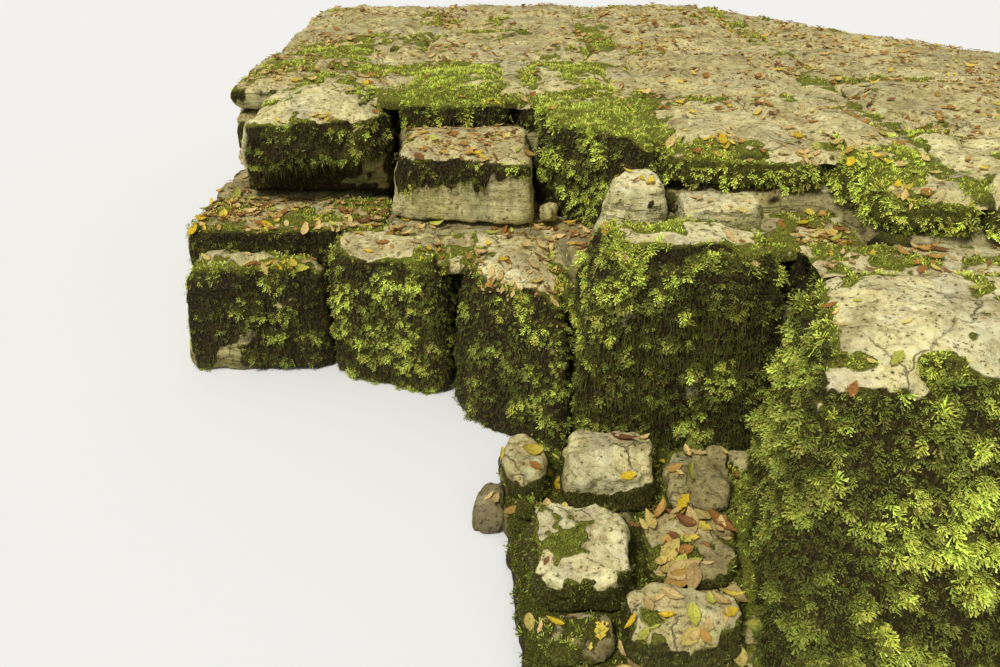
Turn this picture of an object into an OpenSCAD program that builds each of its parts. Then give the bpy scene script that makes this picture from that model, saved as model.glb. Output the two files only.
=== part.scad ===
// Stepped stone ledge: three beds of jointed stone blocks that step down to a pool,
// with a slab pavement on top and loose stones on a low shelf at the foot.
// X runs along the ledge to the east, Y runs back from the pool, Z is up.
// The origin is the middle of the footprint, on the ground.

/* [Beds] */
// Height of the lower bed, from the ground to the first bedding plane
lower_bed = 500; // [440:10:560]
// Thickness of the middle bed, between the two bedding planes
middle_bed = 220; // [200:10:280]
// Thickness of the top bed, the pavement slabs
top_bed = 130; // [110:5:170]
// Thickness of the low shelf at the foot of the ledge
shelf_bed = 60; // [40:5:80]

/* [Lower row, lengths along the ledge] */
// Low stone at the west end
low_stone_length = 540; // [480:10:600]
// Block with the slanting face
west_block_length = 430; // [390:10:480]
// Block beside the great one
middle_block_length = 380; // [340:10:440]
// Great block in the middle of the ledge
great_block_length = 580; // [540:10:640]
// East block, which stands nearest to the pool
east_block_length = 720; // [640:10:800]
// Last block at the east end
end_block_length = 1000; // [800:10:1100]

/* [Setbacks from the foot of the east block] */
// Face of the great block
great_setback = 820; // [760:10:880]
// Back of the west and middle blocks, where the second step starts
second_step_setback = 1500; // [1460:10:1540]
// Face of the overhanging block at the west end
upper_west_setback = 1650; // [1620:10:1700]
// Face of the top bed behind the pale block
top_edge_setback = 1950; // [1910:10:2000]
// Front of the second row of pavement slabs
pavement_setback = 2670; // [2550:10:2800]
// Back of the whole ledge
ledge_depth = 4450; // [4200:50:4700]
// How much shallower the ledge is at its east end
east_cutback = 1700; // [1500:20:1800]

/* [Single stones] */
// Depth of the low stone at the west end, front to back
low_stone_depth = 170; // [140:10:220]
// How much lower its top is than the lower bed
low_stone_drop = 80; // [40:10:120]
// Depth of the west block at its west side
west_block_depth = 200; // [180:10:260]
// How far the west block's face comes forward from west to east
west_block_slant = 130; // [80:10:160]
// How far the middle block's face comes forward from west to east
middle_block_slant = 250; // [200:10:260]
// Lean of the middle block's face, from foot to top
middle_lean = 110; // [60:10:130]
// Depth of the great block, front to back
great_block_depth = 270; // [240:10:300]
// Length of the overhanging block
overhang_length = 550; // [500:10:580]
// How far the overhanging block stands out over the stone below it
overhang = 180; // [120:10:200]
// Depth of the stone below the overhanging block
undercut_depth = 365; // [320:5:400]
// Height of the undercut stone below it
undercut_height = 150; // [120:5:180]
// Length of the pale block on the second step
pale_block_length = 525; // [480:5:540]
// Height of the pale block
pale_block_height = 245; // [220:5:280]
// Length of the corner block beside the pale block
corner_block_length = 385; // [360:5:400]
// Rise of the layer behind the great block, over its top
layer_rise = 80; // [50:5:100]
// Lean of the east block's face, from foot to top
east_lean = 330; // [240:10:380]
// Skew of the east block's west side
east_skew = 170; // [130:10:200]
// How far the east block reaches in front of the great block
east_lap = 70; // [40:5:90]
// Width of the low path between the great block's row and the east slabs
path_width = 215; // [180:5:240]
// Height of the stones on the foot shelf
foot_stone_height = 120; // [80:5:150]
// Width of the groove behind the east blocks
groove_width = 160; // [130:5:180]
// How much lower the stones in the groove are than the blocks
groove_drop = 60; // [40:5:90]
// Distance from the great block's back to the edge of the top bed behind it
layer_depth = 180; // [160:5:220]

/* [Joints and weathering] */
// Open joint between neighbouring stones
joint = 10; // [6:1:14]
// Wide open cleft between the great block and the east block
cleft = 70; // [50:5:90]
// Depth to which faces have weathered back
weathering = 26; // [10:1:32]
// Rounding of the upper edges
edge_round = 46; // [25:1:56]
// Height of the step between worn layers on the tops of slabs and big blocks
layer_step = 24; // [10:1:30]

/* [Hidden] */

// Closed joint, where one stone bears on the side of the next
seat = 0.3;

// Bedding planes
bed_1 = lower_bed;
bed_2 = bed_1 + middle_bed;
bed_3 = bed_2 + top_bed;

// Stations along the ledge, from its west end
low_x1 = low_stone_length;
west_x0 = low_x1 + joint;
west_x1 = west_x0 + west_block_length;
middle_x0 = west_x1 + joint;
middle_x1 = middle_x0 + middle_block_length;
great_x0 = middle_x1 + joint;
great_x1 = great_x0 + great_block_length;
east_x0 = great_x1 - east_lap;
east_x1 = east_x0 + east_block_length;
end_x0 = east_x1 + joint;
end_x1 = end_x0 + end_block_length;
ledge_length = end_x1;

// Stations on the second step, counted back from the east side of the corner block
corner_x1 = great_x0 + 0.5 * great_block_length;
corner_x0 = corner_x1 - corner_block_length;
pale_x1 = corner_x0 - joint;
pale_x0 = pale_x1 - pale_block_length;
upper_x1 = pale_x0 - 3 * joint;
upper_x0 = upper_x1 - overhang_length;
layer_x1 = great_x0 + 0.6 * great_block_length;
path_x0 = great_x1 + 2.5 * joint;
path_x1 = path_x0 + path_width;

// Joints of the bedrock and of the top bed
column_1 = pale_x0 - joint;
column_2 = middle_x1 + joint / 2;
column_3 = path_x0 - joint;
corner_joint = corner_x1 + joint / 2;
path_joint = path_x1 + joint / 2;
slab_joint = path_x1 + 0.4 * east_block_length;
end_joint = end_x0 + 0.35 * end_block_length;
slab_split = (column_1 + corner_joint) / 2;

// Stations from front to back
great_back = great_setback + great_block_depth;
east_back = great_setback - cleft;
groove_back = east_back + groove_width;
tread_back = upper_west_setback + overhang;
upper_back = tread_back + undercut_depth;
kink_setback = great_back + layer_depth;
second_row = pavement_setback;
rear = ledge_depth - second_row;
front_zone = second_row - groove_back;
west_row = second_row + 0.22 * rear;
middle_row = second_row + 0.45 * rear;
east_row = groove_back + 0.62 * front_zone;
east_rear_row = groove_back + 1.13 * front_zone;
end_row = groove_back + 0.45 * front_zone;
end_rear_row = groove_back + 0.82 * front_zone;
slab_wave = 0.035 * front_zone;

// Front line of the corner block, slanting forward to the east
corner_y0 = upper_west_setback + 4 * joint;
corner_y1 = kink_setback + 6 * joint;
function corner_front(x) =
    corner_y0 + (corner_y1 - corner_y0) * (x - corner_x0) / (corner_x1 - corner_x0);

// West side of the foot shelf, and the east limit of the stones on it
shelf_front = 2 * joint;
function foot_share(y) = (y - shelf_front) / (great_setback - shelf_front);
function shelf_west(y) = great_x0 - (0.45 + 0.18 * foot_share(y)) * middle_block_length;
function shelf_east(y) = east_x0 - east_skew * max(0, 1 - y / east_back) - 4 * joint;

// A place on the foot shelf: u runs from its west to its east side, v from front to back
function foot(u, v) =
    let (y = shelf_front + v * (great_setback - shelf_front))
    [shelf_west(y) + u * (shelf_east(y) - shelf_west(y)), y];
function foot_plan(u0, u1, v0, v1) = [foot(u0, v0), foot(u1, v0), foot(u1, v1), foot(u0, v1)];

// Back edge of the ledge, cut off slantwise towards its east end
function back_edge(x) =
    ledge_depth - east_cutback * max(0, x - slab_joint) / (ledge_length - slab_joint);

stone_pale = [0.72, 0.69, 0.58];
stone_buff = [0.62, 0.58, 0.47];
stone_grey = [0.50, 0.49, 0.43];
moss_bright = [0.46, 0.52, 0.16];
moss_dark = [0.27, 0.30, 0.13];
bedrock_brown = [0.40, 0.37, 0.29];

// Steady value from 0 to 1 for three numbers
function chance(a, b, c) =
    let (v = sin(a * 127.1 + b * 311.7 + c * 74.7) * 4375.85) v - floor(v);

// Plan corners of an upright stone: front-left, front-right, back-right, back-left
function plan(x0, x1, y0, y1) = [[x0, y0], [x1, y0], [x1, y1], [x0, y1]];

function unit(v) = v / norm(v);
function inward(a, b) = let (d = unit(b - a)) [-d[1], d[0]];

// A plan corner after its two sides have moved in by a and by b
function inset_corner(before, at, after, a, b) =
    let (
        n1 = inward(before, at),
        n2 = inward(at, after),
        c = n1 * n2
    )
    at + (n1 * (a - c * b) + n2 * (b - c * a)) / (1 - c * c);

function inset_plan(corners, insets) = [
    for (k = [0:3])
        inset_corner(corners[(k + 3) % 4], corners[k], corners[(k + 1) % 4],
            insets[(k + 3) % 4], insets[k])
];

// Plan points round a stone, n to a side. Open sides are worn inwards, closed ones stay flat.
// nick: how far a corner between two open sides is worn in towards each of them
function outline(c, open, worn, n, seed, level, nick = 0) = [
    for (k = [0:4 * n - 1])
        let (
            s = floor(k / n),
            t = (k % n) / n,
            depth = worn * chance(k, level, seed),
            last = (s + 3) % 4,
            loss = t == 0 ? depth + nick * open[s] * open[last] : depth,
            side = inward(c[s], c[(s + 1) % 4]) * loss * open[s],
            corner = t == 0 ? inward(c[last], c[s]) * loss * open[last] : [0, 0]
        )
        c[s] + t * (c[(s + 1) % 4] - c[s]) + side + corner
];

// Share of the height at each ring, and how far the edge rounding has come there
ring_heights = [0, 0.3, 0.62, 0.88, 1];
ring_rounding = [0, 0, 0, 0.3, 1];
tall_heights = [0, 0.15, 0.31, 0.47, 0.63, 0.78, 0.9, 1];
tall_rounding = [0, 0, 0, 0, 0, 0.08, 0.35, 1];

// How far in from the rim the worn upper layer starts, as a share of the way to the middle.
// One side of each stone has lost more of it than the others.
function layer_edge(k, count, seed) =
    let (lost = max(0, cos(360 * (k / count - chance(seed, 12, 1)))))
    0.05 + (0.1 + 0.5 * lost * lost) * (0.7 + 0.3 * chance(k, 11, seed));

// A natural block: flat below, worn on its open sides and on top.
// open: 1 for a side that shows, 0 for one that bears on its neighbour, in the order
// front, east, back, west. lean: how far each side leans in from foot to top.
// layered: the top keeps an upper layer that is worn back from the rim in places.
// tall: more rings of wear up the sides.
module stone(corners, z0, z1, open = [1, 1, 1, 1], lean = [0, 0, 0, 0], seed = 1, n = 5, soft = 1,
        layered = false, tall = false) {
    size = 4 * n;
    heights = tall ? tall_heights : ring_heights;
    rounding = tall ? tall_rounding : ring_rounding;
    top = len(heights) - 1;
    worn = weathering * soft;
    step = layered ? layer_step : 0;
    sides = [
        for (level = [0:top])
            let (
                share = heights[level],
                insets = lean * share + open * edge_round * soft * rounding[level],
                points = outline(inset_plan(corners, insets), open,
                    level == 0 ? 0 : worn, n, seed, level, 0.8 * worn)
            )
            [for (k = [0:size - 1])
                [points[k][0], points[k][1],
                    z0 + (z1 - step - z0) * share - (level == top ? worn * chance(k, 7, seed) : 0)]]
    ];
    rim = sides[top];
    centre = (rim[0] + rim[n] + rim[2 * n] + rim[3 * n]) / 4;
    function on_top(k, share, z) = [
        rim[k][0] + share * (centre[0] - rim[k][0]),
        rim[k][1] + share * (centre[1] - rim[k][1]), z];
    layer = layered ? [
        [for (k = [0:size - 1]) on_top(k, layer_edge(k, size, seed), z1 - step)],
        [for (k = [0:size - 1])
            on_top(k, layer_edge(k, size, seed) + 0.04, z1 - 0.3 * worn * chance(k, 8, seed))]
    ] : [];
    inner = [for (k = [0:size - 1])
        on_top(k, layered ? 0.72 : 0.5, z1 - 0.6 * worn * chance(k, 9, seed))];
    low = (corners[0] + corners[1] + corners[2] + corners[3]) / 4;
    rings = concat(sides, layer, [inner]);
    count = len(rings) * size;
    points = concat([for (r = rings) each r],
        [[centre[0], centre[1], z1], [low[0], low[1], z0]]);
    faces = concat(
        [for (r = [0:len(rings) - 2], k = [0:size - 1])
            let (a = r * size + k, b = r * size + (k + 1) % size)
            each [[a, a + size, b], [b, a + size, b + size]]],
        [for (k = [0:size - 1]) [count - size + k, count, count - size + (k + 1) % size]],
        [for (k = [0:size - 1]) [(k + 1) % size, count + 1, k]]);
    placed() polyhedron(points, faces);
}

// A rock mass with flat bedding planes above and below, worn on its open sides
module mass(corners, z0, z1, open = [0, 0, 0, 0], seed = 1, n = 6) {
    placed() translate([0, 0, z0]) linear_extrude(z1 - z0)
        polygon(outline(corners, open, weathering, n, seed, 1));
}

// East side and slanting back edge of the bedrock, lightly worn
function east_sides() = [
    [end_x1, groove_back],
    for (t = [0.2:0.2:0.8])
        [end_x1 - weathering * chance(t, 3, 67),
            groove_back + t * (back_edge(end_x1) - groove_back)],
    for (t = [0:0.2:1])
        let (x = end_x1 - t * (end_x1 - slab_joint))
        [x, back_edge(x) - (t > 0 && t < 1 ? weathering * chance(t, 5, 68) : 0)]
];

// Puts the ledge's own stations round the origin
module placed() {
    translate([-ledge_length / 2, -ledge_depth / 2, 0]) children();
}

module low_stone() {
    color(moss_dark) stone(
        plan(0, low_x1, second_step_setback - low_stone_depth, second_step_setback - seat),
        0, bed_1 - low_stone_drop, open = [1, 1, 0, 1], lean = [20, 0, 0, 30], seed = 11);
}

module west_block() {
    back = second_step_setback - seat;
    front = back - west_block_depth;
    color(moss_dark) stone(
        [[west_x0, front], [west_x1, front - west_block_slant], [west_x1, back],
            [west_x0, back]],
        0, bed_1, open = [1, 1, 0, 1], seed = 12, n = 6);
}

module middle_block() {
    back = second_step_setback - seat;
    color(moss_bright) stone(
        [[middle_x0, great_setback + middle_block_slant], [middle_x1, great_setback],
            [middle_x1, back], [middle_x0, back]],
        0, bed_1, open = [1, 1, 0, 1], lean = [middle_lean, 0, 0, middle_lean / 5],
        seed = 13, n = 7, tall = true);
}

module great_block() {
    color(moss_dark) stone(
        plan(great_x0, great_x1, great_setback, great_back - seat),
        0, bed_2, open = [1, 1, 0, 1], seed = 14, n = 8, soft = 1.2, layered = true, tall = true);
}

module east_block() {
    back = east_back - seat;
    color(moss_bright) stone(
        [[east_x0 - east_skew, 0], [east_x1, 0], [east_x1, back], [east_x0, back]],
        0, bed_2, open = [1, 1, 0, 1], lean = [east_lean, 0, 0, 25],
        seed = 15, n = 8, soft = 1.2, layered = true, tall = true);
}

module end_block() {
    back = east_back - seat;
    color(moss_bright) stone(
        [[end_x0, 0.05 * back], [end_x1, 0.15 * back], [end_x1, back], [end_x0, back]],
        0, bed_2, open = [1, 1, 0, 1], lean = [0.88 * east_lean, 30, 0, 0],
        seed = 16, n = 8, soft = 1.2, layered = true, tall = true);
}

module west_tread() {
    color(stone_buff) stone(
        plan(0, column_1 - joint, second_step_setback, tread_back - seat),
        0, bed_1, open = [1, 0, 0, 1], seed = 17, soft = 0.6);
}

module groove_stone_1() {
    color(stone_buff) stone(
        plan(column_3, slab_joint - joint, east_back, groove_back - seat),
        0, bed_2 - groove_drop, open = [0, 1, 0, 1], seed = 18, n = 4, soft = 0.5);
}

module groove_stone_2() {
    color(stone_buff) stone(
        plan(slab_joint, end_x1, east_back, groove_back - seat),
        0, bed_2 - 1.25 * groove_drop, open = [0, 1, 0, 1], seed = 19, n = 5, soft = 0.5);
}

module path_stone() {
    color(stone_buff) stone(
        plan(path_x0, path_x1, groove_back, kink_setback - seat),
        bed_1, bed_2 - 0.8 * groove_drop, open = [1, 1, 0, 1], seed = 20, n = 3, soft = 0.3);
}

module layer_stone() {
    x1 = min(layer_x1, corner_x1);
    color(stone_pale) stone(
        [[great_x0, great_back], [x1, great_back], [x1, corner_front(x1) - joint],
            [great_x0 + layer_depth / 2, great_back + 1.6 * layer_depth]],
        bed_1, bed_2 + layer_rise, open = [1, 1, 1, 1], lean = [30, 0, 0, 60], seed = 21, n = 6,
        soft = 0.8);
}

module layer_end_stone() {
    x0 = min(layer_x1, corner_x1) + joint;
    color(stone_pale) stone(
        plan(x0, great_x1, great_back, kink_setback - seat),
        bed_1, bed_2 + layer_rise / 4, open = [1, 1, 0, 1], seed = 22, n = 5, soft = 0.6);
}

module undercut_stone() {
    color(stone_grey) stone(
        plan(upper_x0, upper_x1, tread_back, upper_back - seat),
        bed_1, bed_1 + undercut_height, open = [1, 1, 0, 1], seed = 23, n = 5, soft = 0);
}

module overhanging_block() {
    back = upper_back - seat;
    color(moss_dark) stone(
        [[upper_x0, upper_west_setback], [upper_x1, upper_west_setback + overhang * 2 / 3],
            [upper_x1, back], [upper_x0, back]],
        bed_1 + undercut_height, bed_3, open = [1, 1, 0, 1], lean = [20, 0, 0, 40],
        seed = 24, n = 7, layered = true);
}

module pale_block() {
    back = top_edge_setback - seat;
    color(stone_pale) stone(
        [[pale_x0, second_step_setback + 8 * joint], [pale_x1, second_step_setback + joint / 2],
            [pale_x1, back], [pale_x0, back]],
        bed_1, bed_1 + pale_block_height, open = [1, 1, 0, 1], lean = [0, 0, 0, 25],
        seed = 25, n = 7, soft = 0.7);
}

module wedge_stone() {
    color(stone_grey) stone(
        plan(corner_x0, corner_x0 + 0.2 * corner_block_length, second_step_setback + 2 * joint,
            second_step_setback + 10 * joint),
        bed_1, bed_1 + 0.3 * pale_block_height, seed = 26, n = 3, soft = 0.4);
}

module corner_block() {
    back = top_edge_setback - seat;
    color(moss_bright) stone(
        [[corner_x0, corner_y0], [corner_x1, corner_y1], [corner_x1, back], [corner_x0, back]],
        bed_1, bed_3, open = [1, 1, 0, 1], seed = 27, n = 7);
}

module edge_slab_1() {
    color(moss_bright) stone(
        plan(column_1, slab_split - joint, top_edge_setback, second_row - joint),
        bed_2, bed_3, seed = 31, n = 6, soft = 0.7, layered = true);
}

module edge_slab_2() {
    color(moss_bright) stone(
        plan(slab_split, corner_joint - joint, top_edge_setback, second_row - joint),
        bed_2, bed_3 - 0.06 * top_bed, seed = 32, n = 6, soft = 0.7, layered = true);
}

module edge_slab_3() {
    color(moss_bright) stone(
        [[corner_joint, kink_setback + slab_wave], [path_joint - joint, kink_setback],
            [path_joint - joint, east_row - joint], [corner_joint, east_row - joint]],
        bed_2, bed_3 - 0.03 * top_bed, seed = 33, n = 6, soft = 0.8, layered = true);
}

module edge_slab_4() {
    color(moss_bright) stone(
        [[path_joint, groove_back + slab_wave], [slab_joint - joint, groove_back],
            [slab_joint - joint, east_row - joint], [path_joint, east_row - joint]],
        bed_2, bed_3, seed = 34, n = 6, soft = 0.8, layered = true);
}

module edge_slab_5() {
    color(moss_bright) stone(
        [[slab_joint, groove_back], [end_joint - joint, groove_back + slab_wave],
            [end_joint - joint, end_row - joint], [slab_joint, end_row - joint]],
        bed_2, bed_3 - 0.05 * top_bed, seed = 35, n = 6, soft = 0.8, layered = true);
}

module edge_slab_6() {
    color(moss_bright) stone(
        [[end_joint, groove_back + slab_wave / 2], [end_x1, groove_back],
            [end_x1, end_row - joint], [end_joint, end_row - joint]],
        bed_2, bed_3 - 0.02 * top_bed, seed = 36, n = 6, soft = 0.8, layered = true);
}

module foot_shelf() {
    back = great_setback - seat;
    spare = 2 * joint;
    color(stone_grey) mass(
        [[shelf_west(shelf_front), shelf_front], [shelf_east(shelf_front) + spare, shelf_front],
            [shelf_east(back) + spare, back], [shelf_west(back), back]],
        0, shelf_bed, open = [1, 0, 0, 0], seed = 41, n = 5);
}

// A stone on the foot shelf, with its share of the foot stones' height
module foot_stone(u0, u1, v0, v1, share, seed, n = 4, soft = 0.5) {
    stone(foot_plan(u0, u1, v0, v1), shelf_bed, shelf_bed + share * foot_stone_height,
        seed = seed, n = n, soft = soft);
}

module foot_stone_1() {
    color(stone_grey) foot_stone(0.01, 0.205, 0.69, 0.94, 1, seed = 42, soft = 0.8);
}

module foot_stone_2() {
    color(stone_pale) foot_stone(0.25, 0.67, 0.64, 0.96, 1.1, seed = 43, n = 5, soft = 1);
}

module foot_stone_3() {
    color(stone_pale) foot_stone(0.06, 0.54, 0.22, 0.575, 1, seed = 45, n = 5, soft = 1);
}

module foot_stone_4() {
    color(stone_pale) foot_stone(0.45, 1, 0.025, 0.27, 0.8, seed = 46, n = 5, soft = 0.9);
}

module foot_slabs() {
    color(stone_grey) {
        foot_stone(0.7, 1, 0.63, 0.96, 0.4, seed = 44, soft = 0.4);
        foot_stone(0.57, 1, 0.3, 0.61, 0.45, seed = 48, soft = 0.6);
    }
}

module small_foot_stones() {
    color(moss_dark) {
        foot_stone(0.06, 0.43, 0.025, 0.2, 0.5, seed = 49);
        foot_stone(0.03, 0.16, 0.59, 0.675, 0.65, seed = 50, n = 3);
        foot_stone(0.185, 0.31, 0.59, 0.632, 0.5, seed = 40, n = 3, soft = 0.3);
    }
}

module pool_stone() {
    right = 0.6;
    y0 = foot(0, right)[1];
    y1 = foot(0, right + 0.21)[1];
    width = 0.26 * middle_block_length;
    color(stone_grey) stone(
        [[shelf_west(y0) - width, y0], [shelf_west(y0) - seat, y0],
            [shelf_west(y1) - seat, y1], [shelf_west(y1) - 0.8 * width, y1]],
        0, 1.25 * shelf_bed, open = [1, 0, 1, 1], seed = 47, n = 3, soft = 0.5);
}

module pavement_1() {
    color(stone_buff) stone(
        plan(0, column_1 - joint, upper_back, west_row - joint),
        bed_2, bed_3 - 0.05 * top_bed, seed = 51, soft = 0.5, layered = true);
}

module pavement_2() {
    color(stone_buff) stone(
        plan(0, column_1 - joint, west_row, ledge_depth),
        bed_2, bed_3 - 0.1 * top_bed, seed = 52, n = 6, soft = 0.5, layered = true);
}

module pavement_3() {
    color(stone_buff) stone(
        plan(column_1, corner_joint - joint, second_row, middle_row - joint),
        bed_2, bed_3 - 0.09 * top_bed, seed = 53, n = 6, soft = 0.5, layered = true);
}

module pavement_4() {
    color(stone_buff) stone(
        plan(column_1, corner_joint - joint, middle_row, ledge_depth),
        bed_2, bed_3 - 0.03 * top_bed, seed = 54, n = 6, soft = 0.5, layered = true);
}

module pavement_5() {
    color(stone_buff) stone(
        plan(corner_joint, slab_joint - joint, east_row, east_rear_row - joint),
        bed_2, bed_3 - 0.08 * top_bed, seed = 55, n = 6, soft = 0.5, layered = true);
}

module pavement_6() {
    color(stone_buff) stone(
        plan(corner_joint, slab_joint - joint, east_rear_row, ledge_depth),
        bed_2, bed_3, seed = 56, n = 6, soft = 0.5, layered = true);
}

module pavement_7() {
    color(stone_buff) stone(
        plan(slab_joint, end_x1, end_row, end_rear_row - joint),
        bed_2, bed_3 - 0.06 * top_bed, seed = 57, n = 6, soft = 0.5, layered = true);
}

module pavement_8() {
    color(stone_buff) stone(
        [[slab_joint, end_rear_row], [end_x1, end_rear_row], [end_x1, back_edge(end_x1)],
            [slab_joint, back_edge(slab_joint)]],
        bed_2, bed_3 - 0.02 * top_bed, seed = 58, n = 7, soft = 0.5, layered = true);
}

module bedrock_lower_1() {
    color(bedrock_brown) mass(plan(0, column_1, tread_back, ledge_depth),
        0, bed_1, open = [0, 0, 1, 1], seed = 61);
}

module bedrock_lower_2() {
    color(bedrock_brown) placed() linear_extrude(bed_1) polygon(concat(
        [[column_1, ledge_depth], [column_1, second_step_setback],
            [column_2, second_step_setback], [column_2, great_back], [column_3, great_back]],
        [for (t = [1:-0.2:0.2])
            [column_1 + t * (column_3 - column_1),
                ledge_depth - (t < 1 ? weathering * chance(t, 4, 62) : 0)]]));
}

module bedrock_lower_3() {
    color(bedrock_brown) placed() linear_extrude(bed_1) polygon(concat(
        [[column_3, ledge_depth], [column_3, groove_back]], east_sides()));
}

module bedrock_middle_1() {
    color(bedrock_brown) mass(plan(0, column_1, upper_back, ledge_depth),
        bed_1, bed_2, open = [0, 0, 1, 1], seed = 65);
}

module bedrock_middle_2() {
    color(bedrock_brown) mass(plan(column_1, corner_joint, top_edge_setback, ledge_depth),
        bed_1, bed_2, open = [0, 0, 1, 0], seed = 66);
}

module bedrock_middle_3() {
    color(bedrock_brown) placed() translate([0, 0, bed_1]) linear_extrude(middle_bed)
        polygon(concat(
            [[corner_joint, ledge_depth], [corner_joint, kink_setback],
                [path_joint, kink_setback], [path_joint, groove_back]],
            east_sides()));
}

low_stone();
west_block();
middle_block();
great_block();
east_block();
end_block();
west_tread();
groove_stone_1();
groove_stone_2();
path_stone();
layer_stone();
layer_end_stone();
undercut_stone();
overhanging_block();
pale_block();
wedge_stone();
corner_block();
edge_slab_1();
edge_slab_2();
edge_slab_3();
edge_slab_4();
edge_slab_5();
edge_slab_6();
foot_shelf();
foot_stone_1();
foot_stone_2();
foot_stone_3();
foot_stone_4();
foot_slabs();
small_foot_stones();
pool_stone();
pavement_1();
pavement_2();
pavement_3();
pavement_4();
pavement_5();
pavement_6();
pavement_7();
pavement_8();
bedrock_lower_1();
bedrock_lower_2();
bedrock_lower_3();
bedrock_middle_1();
bedrock_middle_2();
bedrock_middle_3();
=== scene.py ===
import math

import bmesh
import bpy
import numpy as np
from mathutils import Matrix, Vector
from mathutils.bvhtree import BVHTree


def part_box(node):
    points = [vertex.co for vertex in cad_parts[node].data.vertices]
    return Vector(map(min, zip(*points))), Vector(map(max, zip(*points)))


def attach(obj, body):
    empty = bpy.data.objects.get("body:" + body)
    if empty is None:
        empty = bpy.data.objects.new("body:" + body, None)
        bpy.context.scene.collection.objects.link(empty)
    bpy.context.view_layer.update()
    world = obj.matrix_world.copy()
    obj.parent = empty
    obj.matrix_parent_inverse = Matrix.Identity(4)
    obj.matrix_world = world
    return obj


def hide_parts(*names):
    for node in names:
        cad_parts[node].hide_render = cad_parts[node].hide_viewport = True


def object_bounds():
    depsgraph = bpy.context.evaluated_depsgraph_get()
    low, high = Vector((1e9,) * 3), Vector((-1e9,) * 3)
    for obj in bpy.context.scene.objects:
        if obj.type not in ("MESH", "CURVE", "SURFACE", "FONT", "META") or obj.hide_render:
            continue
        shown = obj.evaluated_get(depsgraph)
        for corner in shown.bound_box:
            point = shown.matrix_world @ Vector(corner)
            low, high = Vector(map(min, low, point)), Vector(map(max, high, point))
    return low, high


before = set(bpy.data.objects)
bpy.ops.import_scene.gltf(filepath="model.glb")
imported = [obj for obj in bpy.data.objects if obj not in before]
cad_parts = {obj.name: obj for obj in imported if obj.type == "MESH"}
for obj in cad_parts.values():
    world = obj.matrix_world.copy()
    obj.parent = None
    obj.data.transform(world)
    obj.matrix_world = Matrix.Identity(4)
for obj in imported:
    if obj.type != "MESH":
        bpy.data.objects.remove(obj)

CAD_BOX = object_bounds()

# Levels of the bedding planes, read from the solids
SHELF_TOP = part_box("foot_shelf")[1].z
BED_1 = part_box("bedrock_lower_1")[1].z
BED_2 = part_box("bedrock_middle_1")[1].z
BED_3 = CAD_BOX[1].z
GROOVE_LEVEL = 0.692

# The photograph's camera: its place, its pitch, and its focal length in pixels of the 1000 px wide frame
CAMERA_PLACE = (-0.66, -3.285, 1.6)
CAMERA_DOWN = math.radians(31.0)
FOCAL_PX = 780
FRAME_PX = 1000
SENSOR_MM = 36.0


def lerp(a, b, t):
    return a + (b - a) * t


def smoothstep(a, b, x):
    t = np.clip((x - a) / (b - a), 0, 1)
    return t * t * (3 - 2 * t)


# Noise

def lattice(i, j, k, seed):
    """A random value from 0 to 1 for each whole-numbered point i, j, k."""
    h = (i * 374761393 + j * 668265263 + k * 1442695041 + seed * 974634777) & 0xFFFFFFFF
    h = ((h ^ (h >> 13)) * 1274126177) & 0xFFFFFFFF
    h = ((h ^ (h >> 15)) * 2246822519) & 0xFFFFFFFF
    return ((h ^ (h >> 16)) & 0xFFFFFF) / float(0xFFFFFF)


def noise(p, seed=0):
    """Value noise from 0 to 1 at the rows of p."""
    i = np.floor(p).astype(np.int64)
    f = p - i
    u = f * f * (3 - 2 * f)
    out = 0
    for dx in (0, 1):
        for dy in (0, 1):
            for dz in (0, 1):
                w = (u[:, 0] if dx else 1 - u[:, 0]) * (u[:, 1] if dy else 1 - u[:, 1])
                w = w * (u[:, 2] if dz else 1 - u[:, 2])
                out = out + w * lattice(i[:, 0] + dx, i[:, 1] + dy, i[:, 2] + dz, seed)
    return out


def fbm(p, octaves=4, seed=0):
    """Layers of noise, each finer and weaker, from 0 to 1."""
    total, weight, norm = 0, 1.0, 0.0
    for o in range(octaves):
        total = total + weight * noise(p * 2.03 ** o + 17.3 * o, seed + o)
        norm += weight
        weight *= 0.5
    return total / norm


def cells(p, seed=0):
    """Nearest feature point of a jittered grid: its offset from p, and a random value."""
    base = np.floor(p).astype(np.int64)
    best = np.full(len(p), 1e9)
    offset = np.zeros_like(p)
    value = np.zeros((len(p), 3))
    for dx in (-1, 0, 1):
        for dy in (-1, 0, 1):
            for dz in (-1, 0, 1):
                c = base + (dx, dy, dz)
                r = [lattice(c[:, 0], c[:, 1], c[:, 2], seed + s) for s in range(3)]
                q = c + np.stack(r, 1)
                d = ((q - p) ** 2).sum(1)
                near = d < best
                best[near] = d[near]
                offset[near] = (p - q)[near]
                value[near] = np.stack(
                    [lattice(c[:, 0], c[:, 1], c[:, 2], seed + 5 + s) for s in range(3)], 1)[near]
    return offset, value


# Meshes as arrays

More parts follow.
